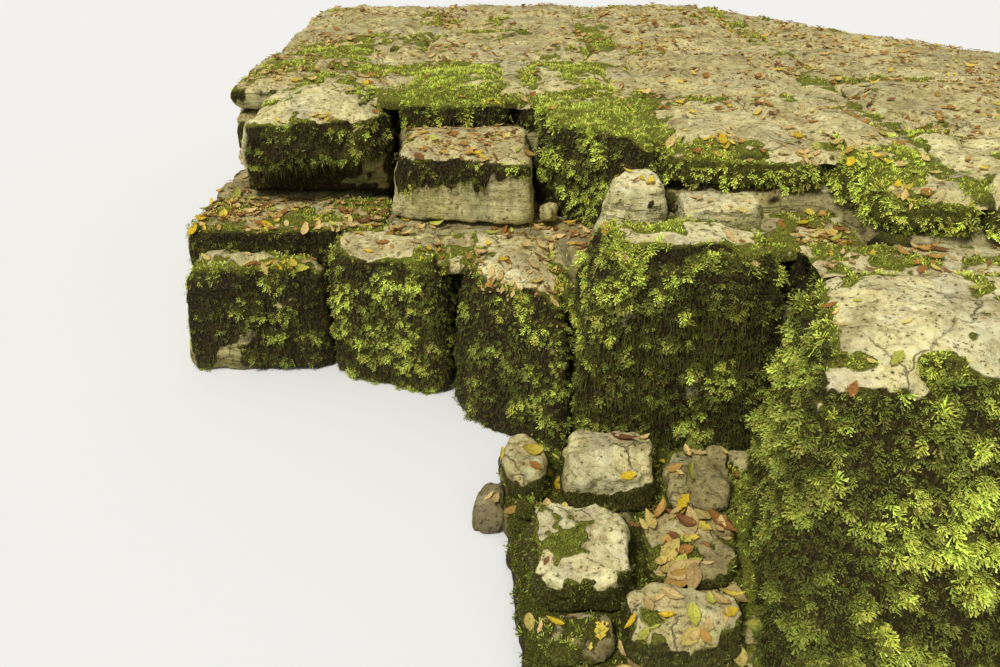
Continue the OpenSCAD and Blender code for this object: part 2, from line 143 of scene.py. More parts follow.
def mesh_from(name, verts, faces, attributes=(), smooth=True):
    """An object in the scene from arrays. faces is one array or several, of 3 or 4 columns."""
    groups = faces if isinstance(faces, list) else [faces]
    groups = [f for f in groups if len(f)]
    me = bpy.data.meshes.new(name)
    me.vertices.add(len(verts))
    me.vertices.foreach_set("co", np.asarray(verts, np.float32).ravel())
    corners = np.concatenate([f.ravel() for f in groups]).astype(np.int32)
    sizes = np.concatenate([np.full(len(f), f.shape[1], np.int32) for f in groups])
    starts = np.concatenate([[0], np.cumsum(sizes)[:-1]]).astype(np.int32)
    me.loops.add(len(corners))
    me.loops.foreach_set("vertex_index", corners)
    me.polygons.add(len(sizes))
    me.polygons.foreach_set("loop_start", starts)
    me.polygons.foreach_set("use_smooth", np.full(len(sizes), smooth))
    for key, values in attributes:
        values = np.asarray(values, np.float32)
        kind = "FLOAT_COLOR" if values.ndim == 2 else "FLOAT"
        layer = me.attributes.new(key, kind, "POINT")
        layer.data.foreach_set("color" if values.ndim == 2 else "value", values.ravel())
    me.update(calc_edges=True)
    me.validate()
    o = bpy.data.objects.new(name, me)
    bpy.context.scene.collection.objects.link(o)
    return o


def vertex_normals(v, q):
    """Normals of the quads q at the vertices v, weighted by area."""
    fn = np.cross(v[q[:, 2]] - v[q[:, 0]], v[q[:, 3]] - v[q[:, 1]])
    n = np.zeros_like(v)
    for axis in range(3):
        for corner in range(4):
            n[:, axis] += np.bincount(q[:, corner], fn[:, axis], len(v))
    return n / (np.linalg.norm(n, axis=1, keepdims=True) + 1e-12)


def relax(v, q, rounds, share=0.5):
    """Vertices drawn towards the mean of their neighbours, which rounds the edges."""
    a = np.concatenate([q[:, i] for i in range(4)])
    b = np.concatenate([q[:, (i + 1) % 4] for i in range(4)])
    count = np.bincount(a, minlength=len(v)) + np.bincount(b, minlength=len(v))
    for _ in range(rounds):
        mean = np.stack([np.bincount(a, v[b, k], len(v)) + np.bincount(b, v[a, k], len(v))
                         for k in range(3)], 1) / count[:, None]
        v = v + share * (mean - v)
    return v


WELD = 1e-5


def remeshed(node, voxel):
    """The CAD node's shape as an even mesh of quads."""
    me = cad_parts[node].data.copy()
    bm = bmesh.new()
    bm.from_mesh(me)
    bmesh.ops.remove_doubles(bm, verts=bm.verts, dist=WELD)
    bm.to_mesh(me)
    bm.free()
    o = bpy.data.objects.new("source", me)
    bpy.context.scene.collection.objects.link(o)
    m = o.modifiers.new("even", "REMESH")
    m.mode = "VOXEL"
    m.voxel_size = voxel
    m.adaptivity = 0
    shaped = bpy.data.meshes.new_from_object(o.evaluated_get(bpy.context.evaluated_depsgraph_get()))
    v = np.empty(len(shaped.vertices) * 3, np.float32)
    shaped.vertices.foreach_get("co", v)
    q = np.empty(len(shaped.loops), np.int32)
    shaped.loops.foreach_get("vertex_index", q)
    sizes = np.empty(len(shaped.polygons), np.int32)
    shaped.polygons.foreach_get("loop_total", sizes)
    assert (sizes == 4).all(), node
    bpy.data.objects.remove(o)
    bpy.data.meshes.remove(me)
    bpy.data.meshes.remove(shaped)
    return v.reshape(-1, 3).astype(float), q.reshape(-1, 4)


def solids_tree():
    """All CAD solids as one tree for nearest points and rays."""
    verts, faces = [], []
    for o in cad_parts.values():
        base = len(verts)
        verts += [tuple(v.co) for v in o.data.vertices]
        faces += [tuple(base + i for i in p.vertices) for p in o.data.polygons]
    return BVHTree.FromPolygons(verts, faces)


TREE = solids_tree()


def covered(points, margin=0.0005):
    """Which points lie inside the solids."""
    out = np.zeros(len(points), bool)
    for i, p in enumerate(points):
        place, normal, _, _ = TREE.find_nearest(Vector(p))
        out[i] = (Vector(p) - place).dot(normal) < -margin
    return out


def grown(keep, q, count, rounds):
    """Adds to the kept faces the ones beside them, in rounds."""
    for _ in range(rounds):
        touched = np.zeros(count, bool)
        touched[q[keep].ravel()] = True
        keep = keep | touched[q].any(1)
    return keep


def clumps(p, seed, least=0.15):
    """Overlapping tufts of moss: how far each stands out, and how far it is lit.

    least is the light left in the broad dark patches."""
    q = p * (15.0, 15.0, 17.0) + (fbm(p * 9.0, 2, seed + 3)[:, None] - 0.5) * 1.3
    off, val = cells(q, seed)
    away = np.linalg.norm(off, axis=1)
    out = (1 - smoothstep(0.12, 0.78, away)) * (0.45 + 0.55 * val[:, 0])
    upper = smoothstep(-0.50, 0.30, off[:, 2])
    broad = lerp(least, 1.0, smoothstep(0.40, 0.58, fbm(p * 3.6, 3, seed + 11)))
    lit = (1 - smoothstep(0.25, 0.80, away)) * upper * smoothstep(0.10, 0.55, val[:, 1]) * broad
    return out, lit


# How each stone looks. Stones come in this order, because their number is a seed.

def stone(voxel, face, top, length, painted_light, pale, **more):
    """voxel: mesh size in mm. face, top: share of moss on the steep sides and on the top.
    length: of the moss; the next number is its painted light, from shaded to lit shoots. pale: the bare
    stone, from dark brown to pale buff.

    more may change:
    low     how far the moss is lit at the foot of a face
    least   light left in the broad dark patches of moss
    lift    least light anywhere in the moss
    dim     brightness of unlit shoots
    shade   brightness of the shoots at the west edge
    dense   shoots per square metre, and stems the hanging stems
    worn    rounds of smoothing, and rough the depth of the chips
    ragged  how uneven the edge of the moss is
    creep   moss that climbs from the foot shelf
    beds    strength of the bedding lines
    rings   rounds by which a rock's skin goes on behind its neighbours"""
    usual = dict(low=0.5, least=0.15, lift=0, dim=0.12, shade=1.0, dense=6500, stems=3500, ragged=0,
                 creep=0, beds=0.45, rings=3)
    return dict(usual, voxel=voxel, face=face, top=top, length=length, painted_light=painted_light, pale=pale, **more)


def foot_stone(top, pale, worn=14):
    return stone(9, 0.34, top, 0.4, 0.35, pale, worn=worn, ragged=2.2, creep=0.6)


LOOKS = {
    "low_stone": stone(16, 0.75, 0.5, 0.8, 0.8, 0.6, low=0.6, least=0.4),
    "west_block": stone(14, 0.92, 0.28, 0.75, 1.05, 0.8, low=0.75, dense=14500, stems=6500, rings=6,
                        least=0.5),
    "middle_block": stone(15, 0.97, 0.28, 0.75, 1.05, 0.85, low=0.7, dense=15500, stems=8000, rings=6,
                          least=0.4),
    "great_block": stone(14.5, 1.0, 0.34, 0.85, 1.0, 0.92, low=0.65, dense=16500, stems=10000, dim=0.04,
                         rings=6, least=0.25),
    "east_block": stone(14.5, 1.05, 0.3, 1.05, 1.3, 0.9, low=0.9, dense=16500, stems=9000, dim=0.02,
                        shade=0.32, rings=6, least=0.85, lift=0.07),
    "end_block": stone(22, 1.0, 0.35, 1.15, 1.25, 0.8, low=0.9, dense=6000, stems=4000, dim=0.02, least=0.8,
                       lift=0.07),
    "west_tread": stone(20, 0.95, 0.3, 0.75, 0.7, 0.6, low=0.6),
    "groove_stone_1": stone(18, 1.05, 0.26, 0.9, 0.9, 1.0, dense=5000, rings=6),
    "groove_stone_2": stone(22, 0.9, 0.28, 0.9, 0.9, 1.0),
    "path_stone": stone(15, 1.0, 0.3, 0.5, 0.6, 0.85),
    "layer_stone": stone(12, 0.05, 0.18, 0.7, 1.1, 1.0),
    "layer_end_stone": stone(13, 0.4, 0.22, 0.6, 0.7, 0.85),
    # painted shade: the undercut lies in shadow under the overhang, so its bare stone is set dark and its
    # moss dim
    "undercut_stone": stone(18, 0.85, 0.2, 0.5, 0.35, 0.15, beds=0.3),
    "overhanging_block": stone(14, 0.95, 0.4, 0.9, 0.8, 0.8, low=0.55, beds=0.25, least=0.5),
    "pale_block": stone(12, 0.3, 0.22, 0.8, 1.0, 0.7, low=0.8, worn=5, rough=0.45, beds=0.08),
    "wedge_stone": stone(9, 0.2, 0.2, 0.5, 0.5, 0.6),
    "corner_block": stone(14, 1.0, 0.68, 0.95, 1.0, 0.7, low=0.5, dense=12000, least=0.5),
    "edge_slab_1": stone(18, 1.0, 0.68, 0.9, 1.2, 0.75, low=0.8, least=0.5),
    "edge_slab_2": stone(18, 1.0, 0.62, 0.9, 1.2, 0.75, low=0.8, least=0.5),
    "edge_slab_3": stone(18, 0.95, 0.3, 0.9, 1.2, 0.75, low=0.8, lift=0.45, least=0.5),
    "edge_slab_4": stone(18, 0.9, 0.3, 0.95, 1.3, 0.75, low=0.9, lift=0.45, least=0.5),
    "edge_slab_5": stone(18, 0.85, 0.36, 0.95, 1.35, 0.75, low=0.95, lift=0.45, least=0.5),
    "edge_slab_6": stone(22, 1.0, 0.3, 0.95, 1.3, 0.75, low=0.9, dense=1600, lift=0.45, least=0.5),
    "foot_shelf": stone(15, 0.5, 0.7, 0.5, 0.4, 0.3),
    "foot_stone_1": foot_stone(0.12, 0.62, worn=16),
    "foot_stone_2": foot_stone(0.16, 0.86),
    "foot_stone_3": foot_stone(0.16, 0.92),
    "foot_stone_4": foot_stone(0.22, 0.66),
    "foot_slabs": stone(10, 0.5, 0.12, 0.4, 0.4, 0.5, ragged=2.0),
    "small_foot_stones": stone(9, 0.45, 0.5, 0.45, 0.6, 0.3),
    "pool_stone": stone(9, 0.1, 0.05, 0.3, 0.3, 0.25),
    "pavement_1": stone(26, 0.6, 0.46, 0.6, 1.0, 0.6),
}
for number, voxel, top in ((2, 32, 0.26), (3, 26, 0.2), (4, 32, 0.16), (5, 26, 0.16), (6, 32, 0.14),
                           (7, 32, 0.18), (8, 32, 0.12)):
    LOOKS["pavement_%d" % number] = stone(voxel, 0.5, top, 0.5, 1.0, 0.6)
for layer, face, pale in (("lower", 0.35, 0.3), ("middle", 0.4, 0.35)):
    for number in (1, 2, 3):
        LOOKS["bedrock_%s_%d" % (layer, number)] = stone(38, face, 0.3, 0.6, 0.5, pale)
SMALL = ("foot_stone", "small_foot", "pool_stone", "foot_slabs", "wedge")
# soil in the joints between the blocks, under the pavement, and in the groove
EARTH = stone(15, 0.5, 0.60, 0.4, 0.8, 0.62)
PAVEMENT_EARTH = dict(EARTH, top=0.48, pale=0.72)
GROOVE_EARTH = dict(EARTH, top=0.42, pale=0.9)

# the cut sides of the ledge: this near to the CAD box's back and ends
CUT_BACK = 0.06
CUT_END = 0.03
# the moss on a cut side starts and is full this far under the top
CUT_MOSS = (0.11, 0.02)
# the fringe of moss on the pale block's front starts and is full at these levels
FRINGE = (0.600, 0.665)
# seeds: the top layer's moss runs on across its joints, and every other stone's is its own
MOSS_SEED = 200
CLUMP_SEED = 91


def moss_patch(p, seed):
    """Large, middling and small patches of moss as one field from 0 to 1."""
    patch = 0.5 * fbm(p * 4.1 + 3.7, 4, seed) + 0.3 * fbm(p * 13.0, 3, seed + 9)
    patch = patch + 0.2 * fbm(p * 42.0, 2, seed + 5)
    return np.clip((patch - 0.30) / 0.40, 0, 1)


def moss_cover(p, n, look, seed, ztop):
    """Moss from 0 to 1, by the slope of the face and in patches, and which points lie on a cut side."""
    uneven = look["ragged"] * (fbm(p * 16.0, 3, seed + 2) - 0.5)
    slope = np.clip((n[:, 2] - 0.50) / 0.45 + uneven, 0, 1)
    amount = lerp(look["face"], look["top"], slope ** 1.3)
    amount = amount + look["creep"] * (1 - smoothstep(SHELF_TOP + 0.01, SHELF_TOP + 0.10, p[:, 2]))
    hi = CAD_BOX[1]
    cut_side = (p[:, 1] > hi.y - CUT_BACK) | (np.abs(p[:, 0]) > hi.x - CUT_END) | (n[:, 1] > 0.6)
    cut_side |= (n[:, 0] > 0.4) & (n[:, 1] > 0.3)
    cut_side &= n[:, 2] < 0.7
    rim = smoothstep(ztop - CUT_MOSS[0], ztop - CUT_MOSS[1], p[:, 2])
    amount = np.where(cut_side, np.minimum(amount, lerp(0.0, 0.35, rim)), amount)
    return smoothstep(-0.10, 0.12, amount - moss_patch(p, seed)), cut_side


def steepness(n):
    return 1 - smoothstep(0.35, 0.75, np.abs(n[:, 2]))


def fringe_moss(v, n, moss, ztop):
    """The pale block's moss: on its front a fringe that hangs from the upper edge, longer to the east."""
    east = 0.05 * (v[:, 0] - v[:, 0].mean()) / np.ptp(v[:, 0])
    drip = 0.16 * (fbm(v * (7, 7, 1), 2, 24) - 0.5) - east
    drip += 0.10 * (fbm(v * (26, 26, 4), 3, 4) - 0.5) + 0.05 * (fbm(v * (70, 70, 18), 2, 14) - 0.5)
    fringe = smoothstep(FRINGE[0], FRINGE[1], v[:, 2] + drip)
    front = steepness(n) * smoothstep(0.2, 0.5, -n[:, 1])
    return np.where(front > 0.3, np.clip(fringe * 1.2, 0, 1) * (v[:, 2] < ztop - 0.02), moss)


# Wear in metres, the size of its noise as counts per metre, rounds of smoothing, and how high it is damp
BLOCK_WEAR = dict(lump=0.034, lump_count=5.0, chip=0.026, chip_count=8.5, step=0.010, groove=0.010,
                  rounds=9, depth=1.0, damp=0.12)
SMALL_WEAR = dict(lump=0.055, lump_count=9.0, chip=0.045, chip_count=14, step=0.016, groove=0.003,
                  rounds=24, depth=0.55, damp=0.16)
GRAIN_DEPTH = 0.010
# bedding: grooves this far apart round the sides, and this many worn layers over the range of the noise
BEDDING = 0.075
LAYERS = 9
LAYER_DEPTH = 0.012
SAG_DEPTH = 0.006
# stones whose tops are this near to the highest share one field of moss
TOP_LAYER = 0.06
# a face with a stone this near in front of it lies against it, and one with a stone this near grows no moss
AGAINST = 0.013
ROOM = 0.035


def worn(v, n, wear, scale, index, moss, proud):
    """The vertices after lumps, chips, grooves, worn layers and the thickness of the moss."""
    lumps = (fbm(v * wear["lump_count"], 3, 11 + index) - 0.5) * wear["lump"]
    offset, value = cells(v * wear["chip_count"] + fbm(v * 6, 2, 3)[:, None] * 0.5, 23 + index)
    tilt = value - 0.5
    chips = (offset * tilt).sum(1) * wear["chip"] + (value[:, 0] - 0.5) * wear["step"]
    rough = (fbm(v * 34.0, 3, 31) - 0.5) * GRAIN_DEPTH
    # bedding: thin grooves round the steep sides, thin worn layers on the flat tops
    wave = v[:, 2] / BEDDING + 1.5 * fbm(v * (1.6, 1.6, 0.4), 3, 5 + index)
    groove = np.exp(-(((wave % 1) - 0.5) / 0.07) ** 2) * smoothstep(0.42, 0.6, fbm(v * 3.1, 2, 77))
    layer = fbm(v * (2.4, 2.4, 0.0) + 0.7 * fbm(v * 11, 2, 8)[:, None], 3, 60) * LAYERS
    terrace = (np.floor(layer) + smoothstep(0.0, 0.16, layer % 1)) / LAYERS
    depth = scale * (lumps + chips) * (1 - 0.55 * moss) + rough * (1 - 0.5 * moss)
    depth -= groove * steepness(n) * wear["groove"] * (1 - 0.7 * moss) * scale
    depth += proud
    v = v + n * depth[:, None]
    sag = smoothstep(0.35, 0.75, fbm(v * (3.3, 3.3, 0.1), 2, 41))
    flat = smoothstep(0.75, 0.95, n[:, 2])
    v[:, 2] -= flat * ((1 - terrace) * LAYER_DEPTH + sag * SAG_DEPTH) * scale
    v[:, 2] = np.maximum(v[:, 2], 0.0)
    return v


def covering(name, node, look, v, q, moss, out, lit, free, more):
    """A rock or soil: its object, and the arrays that its moss and leaves need."""
    values = [("moss", moss), ("pale", look["pale"]), ("lit", lit * look["painted_light"])] + more
    o = mesh_from(name, v, q, [(key, np.broadcast_to(x, len(v))) for key, x in values])
    return dict(node=node, look=look, v=v, q=q, n=vertex_normals(v, q), moss=moss, out=out, lit=lit,
                free=free, obj=o)


def rock(node, look, index):
    """The CAD node as a worn and mossy rock."""
    small = node.startswith(SMALL)
    wear = SMALL_WEAR if small else BLOCK_WEAR
    v, q = remeshed(node, look["voxel"] / 1000 * (1.0))
    rounds = look.get("worn", wear["rounds"])
    v = relax(v, q, rounds)
    n = vertex_normals(v, q)
    ztop = v[:, 2].max()
    # faces that lie against a neighbour go away, before the faces are worn
    centre, facing = v[q].mean(1), n[q].mean(1)
    keep = grown(~covered(centre + facing * AGAINST), q, len(v), look["rings"])
    shared = ztop > BED_3 - TOP_LAYER
    moss, cut = moss_cover(v, n, look, MOSS_SEED if shared else MOSS_SEED + index, ztop)
    if node == "pale_block":
        moss = fringe_moss(v, n, moss, ztop)
    if node == "overhanging_block":
        # its west corner is bare
        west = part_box(node)[0].x
        moss *= smoothstep(west + 0.03, west + 0.10, v[:, 0] + 0.08 * (fbm(v * 9, 2, 6) - 0.5))
    out, lit = clumps(v, CLUMP_SEED, look["least"])
    lit = lit * lerp(look["low"], 1.0, smoothstep(ztop - 0.20, ztop - 0.03, v[:, 2]))
    lit = np.where(cut | small, np.maximum(lit, 0.95), np.maximum(lit, look["lift"]))
    proud = moss * (0.003 + 0.017 * look["length"] * out) * (0.3 + 0.7 * steepness(n))
    v = worn(v, n, wear, look.get("rough", wear["depth"]), index, moss, proud)
    q = q[keep]
    free = ~covered(centre[keep] + facing[keep] * ROOM)
    used = np.zeros(len(v), bool)
    used[q.ravel()] = True
    q = (np.cumsum(used) - 1)[q]
    v, moss, out, lit = v[used], moss[used], out[used], lit[used]
    wet = 1 - smoothstep(0.02, wear["damp"], v[:, 2] + 0.05 * (fbm(v * 9, 2, 55) - 0.5))
    beds = 0.0 if small else look["beds"]
    return covering("rock_" + node, node, look, v, q, moss, out, lit, free, [("wet", wet), ("beds", beds)])


# Soil in the joints, as a sheet of square cells

SOIL_CELL = 0.018
SOIL_WET = 0.25
# a face that leans less than this from upright is a stone's side, and a joint lies this near to it
UPRIGHT = 0.5
JOINT_SIDE = 0.012
# inside a stone, a level lies no deeper than this under its top
WITHIN = 0.07
# gaps up to twice this many cells wide count as joints, and wider ones as open air
BRIDGED = 4
# how many cells the soil stays back from the stones' outer edge
SET_BACK = 1
# how far the soil's edge dips under the stones beside it, in two steps
DIP = 0.030
DIP_SHARES = (0.6, 0.4)


def shrunk(mask, rounds, beyond):
    """The mask with its edges eaten away; beyond says what lies past the grid."""
    for _ in range(rounds):
        m = np.pad(mask, 1, constant_values=beyond)
        m = m[:-2] & m[1:-1] & m[2:]
        mask = m[:, :-2] & m[:, 1:-1] & m[:, 2:]
    return mask


def widened(mask, rounds):
    return ~shrunk(~mask, rounds, True)


def joint_cells(gx, gy, level, wide, spread, to_edge):
    """Which cells lie in a joint at this level or within wide cells of it, in places spread cells more."""
    points = np.stack([gx.ravel(), gy.ravel(), np.full(gx.size, level)], 1)
    inside = np.zeros(len(points), bool)
    joint = np.zeros(len(points), bool)
    for i, p in enumerate(points):
        place, normal, _, far = TREE.find_nearest(Vector(p))
        inside[i] = far < WITHIN and (Vector(p) - place).dot(normal) < 0
        joint[i] = (far < JOINT_SIDE and abs(normal.z) < UPRIGHT) or not inside[i]
    inside, joint = inside.reshape(gx.shape), joint.reshape(gx.shape)
    inside = widened(shrunk(inside, 1, False), 1)
    closed = shrunk(widened(inside, BRIDGED), BRIDGED, to_edge)
    mask = widened(joint & closed, wide)
    uneven = fbm(points * 5.0, 3, 640).reshape(gx.shape) > 0.52
    mask |= widened(mask, spread) & uneven
    return mask & shrunk(closed, 0 if to_edge else SET_BACK, False)


def soil(name, look, surface, level=None, wide=2, spread=0, to_edge=False, wobble=0.010, region=None):
    """Soil and moss at the height surface, in the joints between solids at level, or all over the region."""
    lo, hi = CAD_BOX
    xs = np.arange(lo[0] + SOIL_CELL / 2, hi[0], SOIL_CELL)
    ys = np.arange(lo[1] + SOIL_CELL / 2, hi[1], SOIL_CELL)
    gx, gy = np.meshgrid(xs, ys, indexing="ij")
    mask = np.ones(gx.shape, bool) if level is None else joint_cells(gx, gy, level, wide, spread, to_edge)
    if region:
        (x0, x1), (y0, y1) = region
        mask &= (gx > x0) & (gx < x1) & (gy > y0) & (gy < y1)
    i, j = np.nonzero(mask)
    row = len(ys) + 1
    corners = np.stack([i * row + j, (i + 1) * row + j, (i + 1) * row + j + 1, i * row + j + 1], 1)
    used, q = np.unique(corners, return_inverse=True)
    q = q.reshape(-1, 4)
    vx, vy = used // row, used % row
    v = np.stack([lo[0] + vx * SOIL_CELL, lo[1] + vy * SOIL_CELL, np.zeros(len(used))], 1)
    v[:, 2] = surface + wobble * 2 * (fbm(v * 14.0, 3, 321) - 0.5) + wobble * (fbm(v * 45.0, 2, 322) - 0.5)
    if level is not None:
        m = np.pad(mask, 1)
        whole = m[:-1, :-1] & m[1:, :-1] & m[:-1, 1:] & m[1:, 1:]
        inner = shrunk(whole, 1, False)
        v[:, 2] -= DIP * (DIP_SHARES[0] * ~whole[vx, vy] + DIP_SHARES[1] * ~inner[vx, vy])
    moss = smoothstep(-0.1, 0.1, look["top"] - moss_patch(v, MOSS_SEED))
    out, lit = clumps(v, CLUMP_SEED)
    return covering(name, name, look, v, q, moss, out, lit, True, [("wet", SOIL_WET)])


# Materials

class Tree:
    """Short names for building the nodes of a material or a world."""

    def __init__(self, owner):
        self.owner = owner
        self.owner.use_nodes = True
        self.nt = self.owner.node_tree
        self.nt.nodes.clear()

    def put(self, socket, value):
        if isinstance(value, bpy.types.NodeSocket):
            self.nt.links.new(value, socket)
        elif socket.type == "RGBA":
            socket.default_value = (*value, 1)
        else:
            socket.default_value = value

    def add(self, kind, settings=None, out=0, **inputs):
        """A node's output. Inputs go by name with _ for a space, or by number as i0, i1."""
        node = self.nt.nodes.new("ShaderNode" + kind)
        for k, x in (settings or {}).items():
            setattr(node, k, x)
        for k, x in inputs.items():
            key = int(k[1:]) if k[0] == "i" and k[1:].isdigit() else k.replace("_", " ")
            self.put(node.inputs[key], x)
        return node.outputs[out]

    def attr(self, name, out=2):
        return self.add("Attribute", {"attribute_name": name}, out=out)

    def coords(self, scale=(1, 1, 1)):
        return self.add("Mapping", Vector=self.add("NewGeometry"), Scale=scale)

    def up(self):
        """How far the surface faces up."""
        return self.add("SeparateXYZ", out=2, Vector=self.add("NewGeometry", out=1))

    def math(self, op, a, b):
        return self.add("Math", {"operation": op}, i0=a, i1=b)

    def times(self, a, b):
        return self.math("MULTIPLY", a, b)

    def plus(self, a, b):
        return self.math("ADD", a, b)

    def minus(self, a, b):
        return self.math("SUBTRACT", a, b)

    def mix(self, t, a, b, blend="MIX"):
        return self.add("Mix", {"data_type": "RGBA", "blend_type": blend}, out=2, i0=t, i6=a, i7=b)

    def dyed(self, share, base, dye):
        """The base with a share of it multiplied by the dye."""
        return self.mix(share, base, self.mix(1.0, base, dye, "MULTIPLY"))

    def ramp(self, fac, stops):
        node = self.nt.nodes.new("ShaderNodeValToRGB")
        elements = node.color_ramp.elements
        while len(elements) < len(stops):
            elements.new(0.5)
        for element, (place, c) in zip(elements, stops):
            element.position = place
            element.color = (c, c, c, 1) if isinstance(c, (int, float)) else (*c, 1)
        self.put(node.inputs[0], fac)
        return node.outputs[0]

    def patches(self, noise, start, full):
        """0 where the noise is below start, 1 above full."""
        return self.ramp(noise, [(start, 0.0), (full, 1.0)])

    def noise(self, scale, detail, rough, distortion, vector, out=0):
        return self.add("TexNoise", out=out, Vector=vector, Scale=scale, Detail=detail, Roughness=rough,
                        Distortion=distortion)

    def voronoi(self, scale, vector, feature="F1"):
        return self.add("TexVoronoi", {"feature": feature}, Vector=vector, Scale=scale)

    def finish(self, surface, kind="Material"):
        out = self.nt.nodes.new("ShaderNodeOutput" + kind)
        self.nt.links.new(surface, out.inputs["Surface"])
        return self.owner


def material(name):
    return Tree(bpy.data.materials.new(name))


# Colours are linear. The bare stone runs from dull brown-grey to warm pale buff.
BUFF = [(0.18, (0.125, 0.098, 0.045)), (0.40, (0.34, 0.28, 0.120)), (0.55, (0.68, 0.59, 0.26)),
        (0.71, (0.93, 0.84, 0.43)), (0.90, (0.98, 0.94, 0.62))]
GRAIN = [(0.37, (0.30, 0.26, 0.20)), (0.47, (0.84, 0.81, 0.74)), (0.55, 1.0)]
GREY = (0.30, 0.285, 0.225)
BLOTCH = (0.62, 0.58, 0.53)
PIT_TONE_AND_SHADE = (0.13, 0.105, 0.065)
OCHRE = (0.46, 0.35, 0.17)
CRACK = (0.085, 0.065, 0.035)
LICHEN = (0.70, 0.67, 0.38)
BEDDING_LINE = (0.10, 0.080, 0.045)
DARK_EARTH = (0.10, 0.070, 0.030)
PALE_EARTH = (0.46, 0.34, 0.15)
ALGAE = (0.34, 0.335, 0.095)
STREAK = (0.12, 0.105, 0.06)
WET_STONE = (0.36, 0.31, 0.25)
MAT_STEMS_IN_SHADE = [(0.30, (0.004, 0.003, 0.0015)), (0.52, (0.032, 0.021, 0.008)), (0.72, (0.130, 0.085, 0.034))]
MAT_GREEN = [(0.28, (0.070, 0.064, 0.012)), (0.5, (0.24, 0.245, 0.032)), (0.72, (0.46, 0.48, 0.060))]
MAT_LEAFLET_IN_SHADE = (0.17, 0.17, 0.030)
MAT_LEAFLET = (0.62, 0.68, 0.060)


def bare_stone(t, p, mid, fine, pits, split):
    """The stone's own colour: patches, grain, pits, cracks and round lichens; the pits are darkened partly
    by their own tone and partly by painted shade.
    """
    level = t.plus(t.times(t.attr("pale"), 0.55), t.times(t.noise(3.2, 5, 0.6, 0.3, p), 0.45))
    level = t.plus(level, t.times(t.minus(mid, 0.5), 0.55))
    grain = t.plus(t.times(fine, 0.6), t.times(t.noise(28.0, 5, 0.7, 0.4, p), 0.4))
    c = t.mix(1.0, t.ramp(level, BUFF), t.ramp(grain, GRAIN), "MULTIPLY")
    c = t.mix(t.times(t.patches(t.noise(6.5, 3, 0.5, 0, p), 0.45, 0.62), 0.35), c, GREY)
    c = t.dyed(t.times(t.patches(t.noise(36.0, 5, 0.7, 0.3, p), 0.47, 0.56), 0.42), c, BLOTCH)
    # dark pits: partly the stone's own dark tone, partly painted shade in them
    c = t.mix(t.times(t.minus(1.0, pits), 0.6), c, PIT_TONE_AND_SHADE)
    c = t.mix(t.times(t.patches(t.noise(7.5, 4, 0.6, 0.5, p), 0.48, 0.66), 0.35), c, OCHRE)
    c = t.mix(0.42, c, t.ramp(t.noise(260.0, 2, 0.7, 0.0, p), [(0.3, 0.15), (0.7, 0.85)]), "OVERLAY")
    c = t.mix(t.times(t.minus(1.0, split), 0.65), c, CRACK)
    ring = t.plus(t.voronoi(13.0, p), t.times(t.minus(fine, 0.5), 0.35))
    spot = t.ramp(ring, [(0.20, 1.0), (0.29, 0.0)])
    return t.mix(t.times(t.times(spot, t.patches(t.noise(5.0, 2, 0.5, 0, p), 0.50, 0.60)), 0.7), c, LICHEN)


def cracks(t, p):
    """0 along thin cracks that wander across some of the stones, 1 beside them."""
    wander = t.noise(9.0, 4, 0.6, 0.0, p, out=1)
    wander = t.add("VectorMath", {"operation": "SCALE"}, Vector=wander, Scale=0.10)
    place = t.add("VectorMath", {"operation": "ADD"}, i0=p, i1=wander)
    split = t.patches(t.voronoi(3.6, place, "DISTANCE_TO_EDGE"), 0.0, 0.014)
    often = t.patches(t.noise(4.0, 2, 0.5, 0, p), 0.50, 0.60)
    return t.minus(1.0, t.times(t.minus(1.0, split), often))


def stained(t, p, c, fine, up, wet):
    """Brown earth on the flats, a green film and dark streaks on the sides, and damp at the foot."""
    earth = t.times(t.patches(t.noise(5.5, 7, 0.72, 0.6, p), 0.52, 0.60), t.patches(up, 0.80, 0.95))
    c = t.mix(t.times(earth, 0.55), c, t.mix(fine, DARK_EARTH, PALE_EARTH))
    side = t.ramp(up, [(0.35, 1.0), (0.85, 0.30)])
    film = t.times(side, t.patches(t.noise(9.0, 4, 0.6, 0.4, p), 0.38, 0.66))
    c = t.mix(t.times(film, 0.55), c, ALGAE)
    streaks = t.patches(t.noise(1.0, 4, 0.6, 0.2, t.coords((38, 38, 3.2))), 0.45, 0.68)
    c = t.mix(t.times(t.times(side, streaks), 0.34), c, STREAK)
    return t.dyed(t.times(wet, 0.62), c, WET_STONE)


def moss_mat(t, stems, up):
    """What shows between the shoots: dark brown stems in painted shade, olive where it is lit or faces up.
    """
    leaflets = t.ramp(t.voronoi(1.0, t.coords((150, 150, 95))), [(0.12, 1.0), (0.42, 0.0)])
    above = t.times(t.patches(up, 0.62, 0.95), t.ramp(t.attr("pale"), [(0.32, 0.35), (0.6, 0.9)]))
    # painted shade: where it is not lit, the mat is near black
    dark = t.mix(t.times(leaflets, 0.35), t.ramp(stems, MAT_STEMS_IN_SHADE), MAT_LEAFLET_IN_SHADE)
    green = t.mix(t.times(leaflets, 0.6), t.ramp(stems, MAT_GREEN), MAT_LEAFLET)
    return t.mix(t.math("MAXIMUM", t.times(t.attr("lit"), 0.5), above), dark, green)


